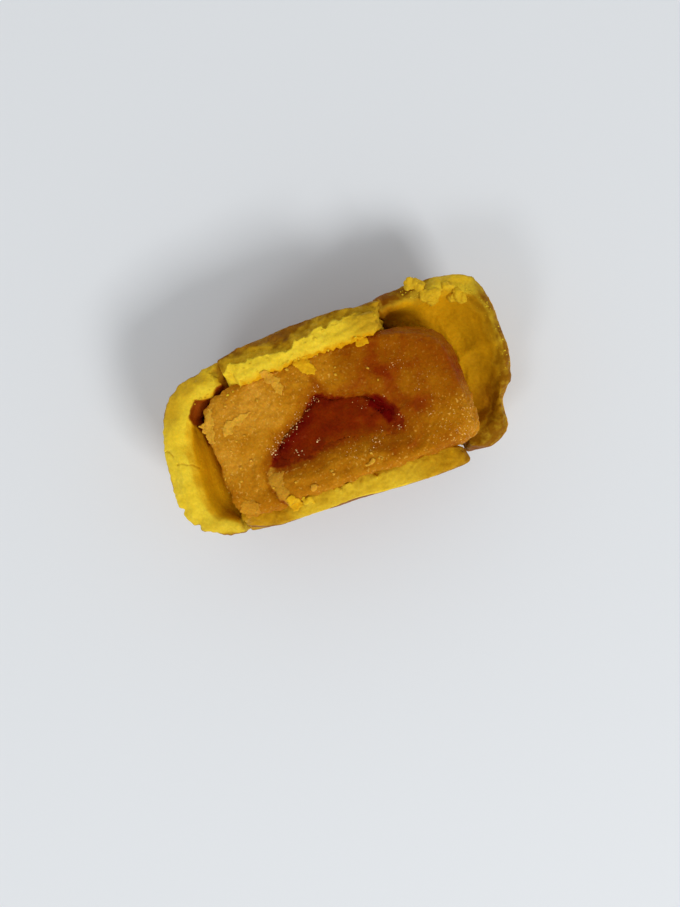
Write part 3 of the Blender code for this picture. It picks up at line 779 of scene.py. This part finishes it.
def moistureOf(points):
    # 0 where the custard is dry and crumbly, 1 where it is soaked through; it also carries painted light on
    # the face's lower right end, painted shadow along the ledge and the painted shade of the hole
    look, soak = fillingLook, soakLook
    x, y = points[:, 0], points[:, 1]
    level = flat(points)
    wander = ripples(level, *wanderLayers)
    ragged = 0.3 * wander + 0.3 * lumps(level, 0.5, 33.0)
    upper = 0.16 + 0.16 * ramp(-9.0, -4.0, x + 1.5 * wander) + 0.3 * ramp(-1.0, 5.0, x + 1.5 * wander)
    lower = 0.3 + 0.06 * ramp(-10.0, 2.0, x) + 0.12 * ramp(6.0, 13.0, x + 2.0 * wander)
    dry = upper + (lower - upper) * ramp(-2.5, -6.0, y + wander)
    dry += 0.35 * (1.0 - dry) * ramp(-0.3, 1.2, insideOutline(points, soak["warm"]) + 0.6 * wander)
    toCrease = [distanceToPath(points, look[crease]) for crease in ("upperCrease", "lowerCrease")]
    dry += 0.13 * ramp(1.5, 0.1, np.minimum(*toCrease) + 0.8 * wander)
    dry += 0.3 * ramp(0.9, 0.1, distanceToPath(points, look["tail"]) + 0.8 * wander)
    # Darker along the ledge's broken edge: partly a wet crack, partly painted shadow
    dry += 0.22 * ramp(0.45, 0.05, distanceToPath(points, look["ledge"]) + 0.2 * wander)
    dry -= 0.12 * ramp(-0.6, 0.5, insideOutline(points, look["palePatch"]))
    # Painted light: the lower right end of the face is paler, where the light falls on it
    litRightEnd = ramp(14.5, 17.5, x - 0.15 * y + 0.5 * wander) * ramp(0.0, -6.0, y)
    dry += 0.14 * lumps(level, 3.2, 43.0) - 0.2 * litRightEnd
    toUpper, toLower = distanceToPath(points, soak["upperEdge"]), distanceToPath(points, soak["lowerEdge"])
    within = insideOutline(points, soak["upperEdge"] + soak["lowerEdge"][1:-1]) + ragged
    soft = ramp(0.4, 0.7, toUpper / (toUpper + toLower + 0.01)) * ramp(-6.5, -2.0, x)
    leftPart = ramp(1.5, -3.0, x)
    darker = ramp(0.9 + 1.5 * leftPart, 0.5 * leftPart, toUpper + ragged)
    deep = soak["stain"] + (0.05 + 0.07 * leftPart) * darker
    deep -= 0.06 * soft * ramp(2.0, 0.5, toLower)
    fringe = dry + (soak["fringe"] - dry) * ramp(-2.5, 0.3, within + 0.5 * wander)
    moisture = fringe + (deep - fringe) * ramp(-0.25 - 0.6 * soft, 0.3 + 0.8 * soft, within)
    # The hole is only a shallow dip, so it is painted darkest as the shade of a deep hole
    hole = insideOutline(points, soak["hole"]) + 0.3 * ragged
    return moisture + (1.0 - moisture) * ramp(-0.15, 0.15, hole)


def drynessOf(moisture):
    return ramp(0.6, 0.25, moisture)


def faceRelief(level, moisture):
    # Crumbly where the custard is dry, smoother where it is wet
    dry = drynessOf(moisture)
    rise = 0.25 * lumps(level, 3.6, 33.0) + (0.5 + 0.5 * dry) * 0.18 * lumps(level, 1.2, 34.0)
    crumb = 0.13 * lumps(level, 0.5, 35.0) + 0.1 * (pebbles(level, 0.8, 36.0) - 0.35)
    return rise + (0.35 + 0.65 * dry) * crumb + 0.07 * lumps(level, 0.28, 37.0)


def poolShore(points):
    # Height of the slope that custard and core share along the hollow's lower side, and how far it holds
    within = insideOutline(points, hollowOutline)
    shore = fillingLook["shoreTop"] - fillingLook["shoreDrop"] * ramp(-2.6, 2.4, within)
    return shore, ramp(-1.8, -3.4, points[:, 1]) * ramp(-2.6, -1.6, within) * ramp(3.6, 1.0, within)


def holeShare(points):
    return ramp(-0.6, 0.8, insideOutline(points, soakLook["hole"]))


def fillingPiece():
    look = fillingLook
    piece = skinOfNode("filling", "fillingBlock", look)
    divideTop(piece, *look["fineTop"])
    points, normals = pointsOf(piece), normalsOf(piece)
    x, y, z = points.T.copy()
    level, up = flat(points), normals[:, 2]
    within = insideOutline(points, hollowOutline)
    wander = ripples(level, *wanderLayers)
    moisture = moistureOf(points)
    dry = drynessOf(moisture)
    relief = faceRelief(level, moisture)
    # The ledge stands up along its broken edge, and the tail and the creases are pressed in
    ledgeSide = insideOutline(points, look["ledge"] + look["ledgeBack"])
    ledgeSide += ripples(level, (0.3, 0.9, 42.0), (0.2, 0.4, 44.0))
    byLedge = distanceToPath(points, look["ledge"])
    raised = 0.35 * ramp(-0.05, 0.15, ledgeSide) * ramp(1.8, 0.3, byLedge)
    pressed = 0.3 * ramp(0.1, -0.1, ledgeSide) * ramp(0.9, 0.1, byLedge)
    rise = relief + (raised - pressed)
    rise -= 0.2 * ramp(0.6, 0.1, distanceToPath(points, look["tail"]) + 0.3 * wander)
    rise -= 0.2 * ramp(1.6, 0.1, distanceToPath(points, look["upperCrease"]) + 0.5 * wander)
    rise -= 0.18 * ramp(1.8, 0.2, distanceToPath(points, look["lowerCrease"]) + 0.5 * wander)
    rise -= 0.6 * ramp(-1.6, 0.1, within + 0.4 * wander)
    # Along the hollow's lower side the custard slopes down to the core without an edge
    shore, holds = poolShore(points)
    holds *= ramp(19.4, 20.0, z) * np.maximum(ramp(-0.2, 0.3, up), within > -0.8)
    height = z + ramp(19.0, 20.5, z) * ramp(0.1, 0.5, up) * rise
    points[:, 2] = height + holds * (shore + relief - height)
    inHole = holeShare(points) * ramp(18.0, 18.6, points[:, 2])
    points[:, 2] += inHole * (look["holeFloor"] - points[:, 2])
    # The broken sides and the hollow's wall are rough too
    side = ramp(16.5, 19.5, z) * (1.0 - ramp(0.3, 0.7, up)) * (within < -2.0)
    push = side * (0.35 + 0.65 * dry) * ripples(points, (0.5, 1.5, 38.0), (0.32, 0.6, 39.0))
    wall = (within > -1.5) * (1.0 - ramp(0.6, 0.9, up)) * ramp(16.5, 18.5, z)
    wall = wall * (1.0 - holds) * (1.0 - inHole)
    push += wall * ripples(points, (0.25, 1.2, 40.0), (0.12, 0.45, 41.0))
    movePoints(piece, points + normals * push[:, None])
    inPocket = ramp(-1.0, 0.0, within) * ramp(20.6, 19.6, z) * (1.0 - holds)
    rightCorner = ramp(8.0, 13.0, x + wander) * ramp(-2.0, -5.0, y + wander)
    crumbly = most(0.7 * dry, rightCorner, 0.55 * ramp(-3.5, -5.5, y + wander), 0.25)
    paint(piece, moisture=np.maximum(moisture, 0.85 * inPocket),
          flake=0.6 * ramp(0.0, 0.3, ledgeSide) * ramp(1.0, 0.3, byLedge),
          crumbly=crumbly * ramp(0.75, 0.6, moisture))
    dress(piece, custard, "custard_filling", "filling")
    return piece


fillingBlock = fillingPiece()


# The molten core

coreLook = {
    "voxel": 0.2,
    "softening": 3,
    "level": 20.1,      # height of the pool along its upper side, and how far it rises to the lower one
    "rise": 0.8,
    "spread": 0.7,      # mm that it reaches into the pocket's wall, so that no gap shows
    "over": 0.06,       # and how far it stands over the custard where they run together
}


def corePiece():
    look = coreLook
    piece = skinOfNode("core", "coreMolten", look)
    points, normals = pointsOf(piece), normalsOf(piece)
    side = ramp(0.8, 0.4, np.abs(normals[:, 2]))
    points[:, :2] += normals[:, :2] * (look["spread"] * side)[:, None]
    top = ramp(0.0, 0.5, normals[:, 2]) * ramp(16.5, 18.0, points[:, 2])
    moisture = moistureOf(points)
    relief = faceRelief(flat(points), moisture)
    shore, holds = poolShore(points)
    # The solid's own pit is filled up, and the hole is shaped anew with the custard round it
    height = look["level"] + look["rise"] * ramp(1.5, -4.0, points[:, 1])
    height += relief + 0.2 * lumps(flat(points), 1.8, 51.0)
    height += holds * (shore + relief + look["over"] - height)
    height += holeShare(points) * (fillingLook["holeFloor"] + look["over"] - height)
    points[:, 2] += top * (height - points[:, 2])
    movePoints(piece, points)
    paint(piece, moisture=moisture)
    dress(piece, molten, "soft_core", "core")
    return piece


coreMolten = corePiece()


# Flakes of crust and of dry custard that stick to the broken face

flakeLook = {
    "voxel": 0.11,
    "softening": 3,
    "lowest": 21.2,     # a flake over a gap lies no lower than this
    "sunk": 0.32,       # mm of each flake that is under the surface
    "custard": (
        # Height over the surface, paleness, and the outline
        (0.12, 0.9, ((-16.5, 1.8), (-16.4, 2.8), (-15.2, 3.6), (-13.6, 3.8), (-12.4, 4.0), (-11.7, 3.6),
            (-12.9, 3.0), (-14.4, 2.4), (-15.7, 1.8))),
        (0.14, 0.8, ((-17.2, 6.2), (-16.5, 5.9), (-16.8, 4.8), (-17.1, 3.4), (-17.8, 1.7), (-18.7, 1.6),
            (-18.6, 3.2), (-19.2, 4.4), (-18.3, 4.7))),
        (0.16, 0.8, ((-8.4, 8.0), (-7.1, 8.1), (-6.4, 6.8), (-6.1, 5.6), (-6.9, 4.3), (-7.3, 5.6),
            (-8.0, 6.8))),
        (0.14, 0.3, ((-17.3, -7.4), (-16.4, -7.2), (-15.1, -8.0), (-15.3, -9.8), (-16.5, -10.0),
            (-17.5, -9.5), (-17.9, -8.2))),
        (0.2, 0.7, ((-7.3, -8.4), (-6.5, -8.7), (-6.7, -9.6), (-7.5, -9.4))),
        (0.25, 1.0, ((0.1, -8.4), (1.2, -8.1), (1.9, -8.4), (1.4, -9.1), (0.4, -9.0))),
        (0.1, 0.5, ((-12.6, -6.5), (-11.6, -5.1), (-10.6, -5.6), (-11.1, -7.2), (-10.5, -8.6),
            (-11.4, -9.6), (-12.0, -8.6))),
    ),
    "pastry": (
        (0.18, 0.85, ((-3.7, 8.2), (-1.6, 8.2), (-1.0, 6.4), (-1.7, 5.4), (-2.7, 5.8), (-3.7, 7.2))),
        (0.2, 0.95, ((4.8, 8.1), (6.4, 8.2), (7.0, 7.4), (6.6, 6.6), (5.7, 6.5), (5.1, 7.1))),
        (0.26, 0.8, ((-11.3, -9.0), (-10.5, -8.8), (-9.7, -9.4), (-9.5, -10.3), (-10.0, -11.2),
            (-11.3, -11.3), (-11.3, -10.2))),
        (0.3, 0.5, ((-9.2, -9.9), (-7.6, -10.3), (-7.8, -11.0), (-9.2, -10.8))),
    ),
}


def slabFrom(outline, height):
    # A flat closed slab with this outline
    slab = addShape(bpy.ops.mesh.primitive_circle_add, vertices=len(outline), radius=mm, fill_type="NGON")
    for vertex, (x, y) in zip(slab.data.vertices, outline):
        vertex.co = Vector((x, y, 0.0)) * mm
    bpy.ops.object.mode_set(mode="EDIT")
    bpy.ops.mesh.select_all(action="SELECT")
    bpy.ops.mesh.extrude_region_move(TRANSFORM_OT_translate={"value": (0.0, 0.0, height * mm)})
    bpy.ops.mesh.select_all(action="SELECT")
    bpy.ops.mesh.normals_make_consistent(inside=False)
    bpy.ops.object.mode_set(mode="OBJECT")
    return slab


def joined(pieces, name):
    pickOnly(*pieces)
    bpy.ops.object.join()
    whole = bpy.context.active_object
    whole.name = name
    bpy.ops.object.transform_apply(location=True, rotation=True, scale=True)
    return whole


def layFlakes(name, shapes, bed, seed):
    look = flakeLook
    flakes = joined([slabFrom(outline, look["sunk"] + height) for height, paleness, outline in shapes], name)
    voxelSkin(flakes, look["voxel"], look["softening"])
    points = pointsOf(flakes)
    pale = np.zeros(len(points))
    for height, paleness, outline in shapes:
        pale = np.where(insideOutline(points, outline) > -0.3, paleness, pale)
    points[:, 0] += ripples(flat(points), (0.5, 0.9, seed), (0.3, 0.35, seed + 1.0))
    points[:, 1] += 0.5 * lumps(flat(points), 0.8, seed + 2.0)
    uneven = ripples(flat(points), (0.16, 0.9, seed + 3.0), (0.08, 0.35, seed + 4.0))
    points[:, 2] += ramp(0.2, 0.5, points[:, 2]) * uneven
    for point in points:
        place = surfaceUnder(bed, point[0], point[1])[0]
        point[2] += max(place.z if place else 0.0, look["lowest"]) - look["sunk"]
    movePoints(flakes, points)
    return flakes, pale


def dressFlakes():
    bed = surfaceTree(fillingBlock, troughPiece)
    flakes, pale = layFlakes("custardFlakes", flakeLook["custard"], bed, 81.0)
    paint(flakes, moisture=moistureOf(pointsOf(flakes)), flake=pale, crumbly=0.5 * pale)
    dress(flakes, custard, "custard_filling")
    flakes, pale = layFlakes("pastryFlakes", flakeLook["pastry"], bed, 91.0)
    paint(flakes, skin=0.0, browned=0.0, olive=0.0, soaked=0.0, inside=pale)
    dress(flakes, pastry, "pastry_crust")


dressFlakes()


# Crumbs of crust, grains of custard, and beads painted pale as glints

crumbLook = {
    "seed": 7,
    # Nothing rests lower than this: crumbs and lumps of crust, grains and beads
    "crustLowest": 9.5,
    "grainLowest": 18.0,
    "beadLowest": 15.0,
    "lumpVoxel": 0.13,
    "lumpSoftening": 10,
    # Lumps of crust on the right end's rim: outline, how many crumbs make it up, and their sizes in mm
    "lumps": (
        (((15.0, 12.9), (16.3, 13.6), (17.0, 12.8), (17.8, 11.7), (17.3, 11.2),
            (15.7, 11.7)), 9, 1.3, 2.1),
        (((16.8, 11.1), (17.8, 11.5), (19.4, 11.0), (18.8, 9.9), (17.5, 9.5), (16.7, 10.3)), 8, 1.2, 1.9),
        (((19.9, 10.0), (21.7, 10.1), (22.7, 8.9), (22.1, 7.8), (21.1, 8.6)), 9, 1.0, 1.7),
        (((19.0, 11.0), (20.2, 11.4), (21.6, 10.6), (20.2, 10.2)), 5, 0.8, 1.3),
    ),
    # Small crumbs along lines on the rims: the line, how many, how far to each side, and their sizes
    "rimCrumbs": (
        (((-14.4, 9.2), (-9.2, 10.0), (-3.2, 9.4), (2.8, 10.4), (9.4, 10.2)), 12, 0.7, (0.25, 0.5)),
        (((-14.7, 7.1), (-10.0, 7.5), (-5.4, 8.3), (0.3, 8.0), (5.7, 8.1),
            (10.0, 7.7)), 12, 0.2, (0.2, 0.4)),
        (((13.8, 12.0), (17.8, 11.0), (22.4, 10.2), (24.4, 7.2), (25.0, 3.2), (24.8, -1.6),
            (24.0, -4.2)), 80, 0.7, (0.1, 0.26)),
        (((-15.2, 9.7), (-16.4, 8.1), (-18.6, 7.8)), 8, 0.2, (0.2, 0.4)),
    ),
    # Pale grains of dry custard: x, y and size
    "grains": ((-14.6, 5.8, 0.5), (-13.4, 5.9, 0.4), (-10.2, 4.9, 0.5), (-13.6, 1.0, 0.45),
        (-14.9, 0.7, 0.4), (-16.1, -0.3, 0.45), (-15.6, -3.0, 0.5), (-14.0, -2.5, 0.4), (-18.2, -3.6, 0.4),
        (-16.2, -4.7, 0.4), (-18.4, -4.7, 0.5), (-18.5, -5.5, 0.4), (1.1, 4.4, 0.5), (5.6, 3.6, 0.45),
        (1.4, 5.3, 0.35), (-4.9, 7.4, 0.4), (6.3, 1.6, 0.35), (1.8, -7.5, 0.35), (2.9, -8.7, 0.4),
        (2.6, -8.5, 0.3), (-4.1, -7.8, 0.4), (-4.0, -8.3, 0.4), (-9.2, -7.5, 0.4), (-12.4, -7.1, 0.35)),
    "beadShare": 0.75,       # of the number below
    "beadShift": 0.25,       # mm to the right and down
    # Beads painted pale as glints: x, y, how far they spread, how many, and their sizes
    "beads": ((-10.8, -2.2, 0.9, 40, 0.07, 0.17), (-9.6, -1.2, 0.9, 34, 0.07, 0.17),
        (-8.5, -0.6, 0.8, 26, 0.06, 0.16), (-7.2, 0.1, 0.8, 26, 0.06, 0.16),
        (-5.8, 1.0, 0.8, 24, 0.06, 0.15), (-4.4, 1.8, 0.8, 24, 0.06, 0.15),
        (-3.1, 2.7, 0.8, 22, 0.06, 0.15), (-2.2, 4.0, 0.7, 12, 0.06, 0.13),
        (-4.5, -3.0, 0.35, 9, 0.09, 0.2), (-7.6, -3.4, 0.8, 16, 0.06, 0.15),
        (8.6, 3.0, 0.5, 14, 0.06, 0.15), (9.5, 3.6, 0.5, 7, 0.05, 0.13), (10.9, -1.2, 0.5, 9, 0.06, 0.14),
        (11.3, -4.8, 0.5, 9, 0.06, 0.14), (6.0, -0.5, 0.35, 8, 0.07, 0.17),
        (3.2, -0.5, 0.9, 14, 0.05, 0.13), (3.5, -4.8, 0.8, 14, 0.06, 0.15),
        (2.8, -5.9, 0.7, 14, 0.06, 0.15), (6.4, -5.3, 0.7, 12, 0.06, 0.15),
        (7.3, -3.8, 0.5, 10, 0.06, 0.15), (-0.8, -6.0, 1.1, 22, 0.05, 0.13),
        (14.8, -8.8, 1.6, 44, 0.05, 0.11), (12.8, -7.8, 2.2, 34, 0.05, 0.1),
        (16.4, -6.2, 1.4, 18, 0.05, 0.1), (12.3, -1.2, 3.6, 36, 0.04, 0.09),
        (8.8, 4.8, 2.6, 20, 0.04, 0.09)),
}


def crumbForms(name, count, knobbly, seed):
    # A few rough lumps, 1 mm across, that the crumbs are copied from
    forms = []
    for number in range(count):
        form = addShape(bpy.ops.mesh.primitive_ico_sphere_add, subdivisions=2, radius=0.5 * mm)
        form.name = name + str(number)
        points, own = pointsOf(form), seed + number
        knobs = 1.0 + knobbly * lumps(points, 0.35, own) + 0.5 * knobbly * lumps(points, 0.16, own)
        movePoints(form, points * knobs[:, None])
        forms.append(form)
    return forms


def scatter(name, forms, places, draw):
    # Copies of the forms, each (x, y, z, size) in mm, turned at random and joined
    copies = []
    for x, y, z, size in filter(None, places):
        copy = bpy.data.objects.new(name, draw.choice(forms).data.copy())
        angle = draw.uniform(0.0, 6.283)     # radians
        turn = Matrix.Rotation(angle, 4, Vector((draw.gauss(0, 1), draw.gauss(0, 1), draw.gauss(0, 1))))
        sides = size * draw.uniform(0.8, 1.35), size * draw.uniform(0.7, 1.0), size * draw.uniform(0.5, 0.9)
        stretch = Matrix.Diagonal(sides + (1.0,))
        copy.data.transform(Matrix.Translation(Vector((x, y, z)) * mm) @ turn @ stretch)
        bpy.context.scene.collection.objects.link(copy)
        copies.append(copy)
    whole = joined(copies, name)
    for form in forms:
        bpy.data.objects.remove(form)
    return whole


def alongLine(line, share):
    # The spot at this share of the line's length
    steps = [math.dist(a, b) for a, b in zip(line, line[1:])]
    target = share * sum(steps)
    for (a, b), step in zip(zip(line, line[1:]), steps):
        if target <= step:
            return a[0] + (b[0] - a[0]) * target / step, a[1] + (b[1] - a[1]) * target / step
        target -= step
    return line[-1]


def restOn(bed, x, y, size, sunk, lowest):
    # Where the middle of a crumb is that has sunk into the surface by this share of its size
    place, normal = surfaceUnder(bed, x, y)
    if not place or place.z < lowest:
        return None
    spot = place + normal * size * (0.5 - sunk)
    return spot.x, spot.y, spot.z, size


def crustCrumbs():
    look = crumbLook
    draw = random.Random(look["seed"])
    bed = surfaceTree(leftPiece, troughPiece, rightPiece, fillingBlock)
    places = []
    for line, count, spread, (small, large) in look["rimCrumbs"]:
        for number in range(count):
            x, y = alongLine(line, draw.random())
            size = small + (large - small) * draw.random() ** 2
            x, y = x + draw.gauss(0.0, 0.5 * spread), y + draw.gauss(0.0, 0.5 * spread)
            places.append(restOn(bed, x, y, size, 0.3, look["crustLowest"]))
    crumbs = scatter("crustCrumbs", crumbForms("crumb", 5, 0.8, 101.0), places, draw)
    places = []
    for outline, count, small, large in look["lumps"]:
        low, high = np.min(outline, axis=0), np.max(outline, axis=0)
        while count:
            x, y = draw.uniform(low[0], high[0]), draw.uniform(low[1], high[1])
            if insideOutline(np.array([[x, y, 0.0]]), outline)[0] > 0.2:
                places.append(restOn(bed, x, y, draw.uniform(small, large), 0.4, look["crustLowest"]))
                count -= 1
    bigOnes = scatter("crustLumps", crumbForms("lump", 4, 0.3, 111.0), places, draw)
    voxelSkin(bigOnes, look["lumpVoxel"], look["lumpSoftening"])
    points, normals = pointsOf(bigOnes), normalsOf(bigOnes)
    knobs = 0.08 + 0.18 * lumps(points, 0.7, 112.0) + 0.2 * (pebbles(points, 0.5, 113.0) - 0.3)
    knobs += 0.06 * lumps(points, 0.25, 114.0)
    movePoints(bigOnes, points + normals * knobs[:, None])
    for piece, golden in ((crumbs, 0.1), (bigOnes, 0.4)):
        paint(piece, skin=0.0, browned=0.0, olive=0.4 * golden, soaked=0.0, inside=golden)
        dress(piece, pastry, "pastry_crust")


def custardGrains():
    look = crumbLook
    draw = random.Random(look["seed"] + 1)
    bed = surfaceTree(fillingBlock)
    places = [restOn(bed, x, y, size, 0.4, look["grainLowest"]) for x, y, size in look["grains"]]
    grains = scatter("custardGrains", crumbForms("grain", 4, 0.9, 121.0), places, draw)
    paint(grains, moisture=0.0, flake=1.0, crumbly=0.9)
    dress(grains, custard, "custard_filling")


def beadMaterial():
    material, shader = newMaterial("paintedGlintBeads")
    tree = material.node_tree
    tint = remap(tree, grain(tree, 1.2, 2.0), 0.35, 0.65)
    # Pale colours that paint the glints on the beads
    colour = blendColours(tree, tint, tone(255, 222, 160), tone(236, 168, 84))
    tree.links.new(colour, shader.inputs["Base Color"])
    shader.inputs["Roughness"].default_value = 0.2
    shader.inputs["Specular IOR Level"].default_value = 0.45
    return material


def paintedGlintBeads():
    look = crumbLook
    draw = random.Random(look["seed"] + 2)
    bed = surfaceTree(fillingBlock, coreMolten)
    shift = look["beadShift"]
    places = []
    for middleX, middleY, spread, count, small, large in look["beads"]:
        for number in range(count):
            x, y = draw.gauss(middleX + shift, 0.55 * spread), draw.gauss(middleY - shift, 0.55 * spread)
            if draw.random() < look["beadShare"]:
                size = small + (1.4 * large - small) * draw.random() ** 2
                places.append(restOn(bed, x, y, size, 0.3, look["beadLowest"]))
    beads = scatter("paintedGlintBeads", crumbForms("bead", 4, 0.5, 131.0), places, draw)
    dress(beads, beadMaterial(), "custard_filling")


crustCrumbs()
custardGrains()
paintedGlintBeads()


# Floor, light and camera

stageLook = {
    "floorSize": 1.6,
    "floor": tone(228, 232, 236),
    "floorRoughness": 0.6,
    "skyLow": 0.69,         # brightness of the soft light all round, and overhead
    "skyHigh": 0.38,
    # Name, place, size and power of each lamp
    "lamps": (("keyLight", (0.3, -0.95, 1.1), 0.4, 9.6), ("sideLight", (-0.7, -0.55, 1.0), 0.3, 2.6)),
}


def layFloor():
    size, below = stageLook["floorSize"], (0.0, 0.0, -0.02 * mm)
    floor = addShape(bpy.ops.mesh.primitive_plane_add, size=size, location=below)
    floor.name = "paleFloor"
    material, shader = newMaterial("paleFloor")
    shader.inputs["Base Color"].default_value = stageLook["floor"]
    shader.inputs["Roughness"].default_value = stageLook["floorRoughness"]
    floor.data.materials.append(material)


def addAreaLight(name, place, size, power):
    light = addShape(bpy.ops.object.light_add, type="AREA", location=place)
    light.name = name
    light.data.size = size
    light.data.energy = power
    light.rotation_euler = (-Vector(place)).to_track_quat("-Z", "Y").to_euler()


def lightScene():
    sky = bpy.data.worlds.new("softSky")
    sky.use_nodes = True
    tree = sky.node_tree
    place = addNode(tree, "TexCoord", {}).outputs["Generated"]
    height = addNode(tree, "SeparateXYZ", {"Vector": place}).outputs["Z"]
    strength = remap(tree, height, 0.3, 0.9, stageLook["skyLow"], stageLook["skyHigh"])
    tree.nodes["Background"].inputs["Color"].default_value = (1.0, 1.0, 1.0, 1.0)
    tree.links.new(strength, tree.nodes["Background"].inputs["Strength"])
    bpy.context.scene.world = sky
    for lamp in stageLook["lamps"]:
        addAreaLight(*lamp)
    bpy.context.scene.view_settings.view_transform = "Standard"


cameraLook = {
    "above": (-2.19, -5.98),    # mm, the point of the part under the lens
    "height": 172.0,
    "turn": -21.0,              # degrees, so that the length rises to the right
    "lens": 43.3,
    "sensorWidth": 36.0,
    "nearest": 0.005,           # m
}


def placeCamera():
    look = cameraLook
    place = [value * mm for value in (*look["above"], look["height"])]
    turn = 0.0, 0.0, math.radians(look["turn"])
    camera = addShape(bpy.ops.object.camera_add, location=place, rotation=turn)
    camera.data.lens = look["lens"]
    camera.data.sensor_width = look["sensorWidth"]
    camera.data.clip_start = look["nearest"]
    bpy.context.scene.camera = camera


layFloor()
lightScene()
placeCamera()
print("stage set")
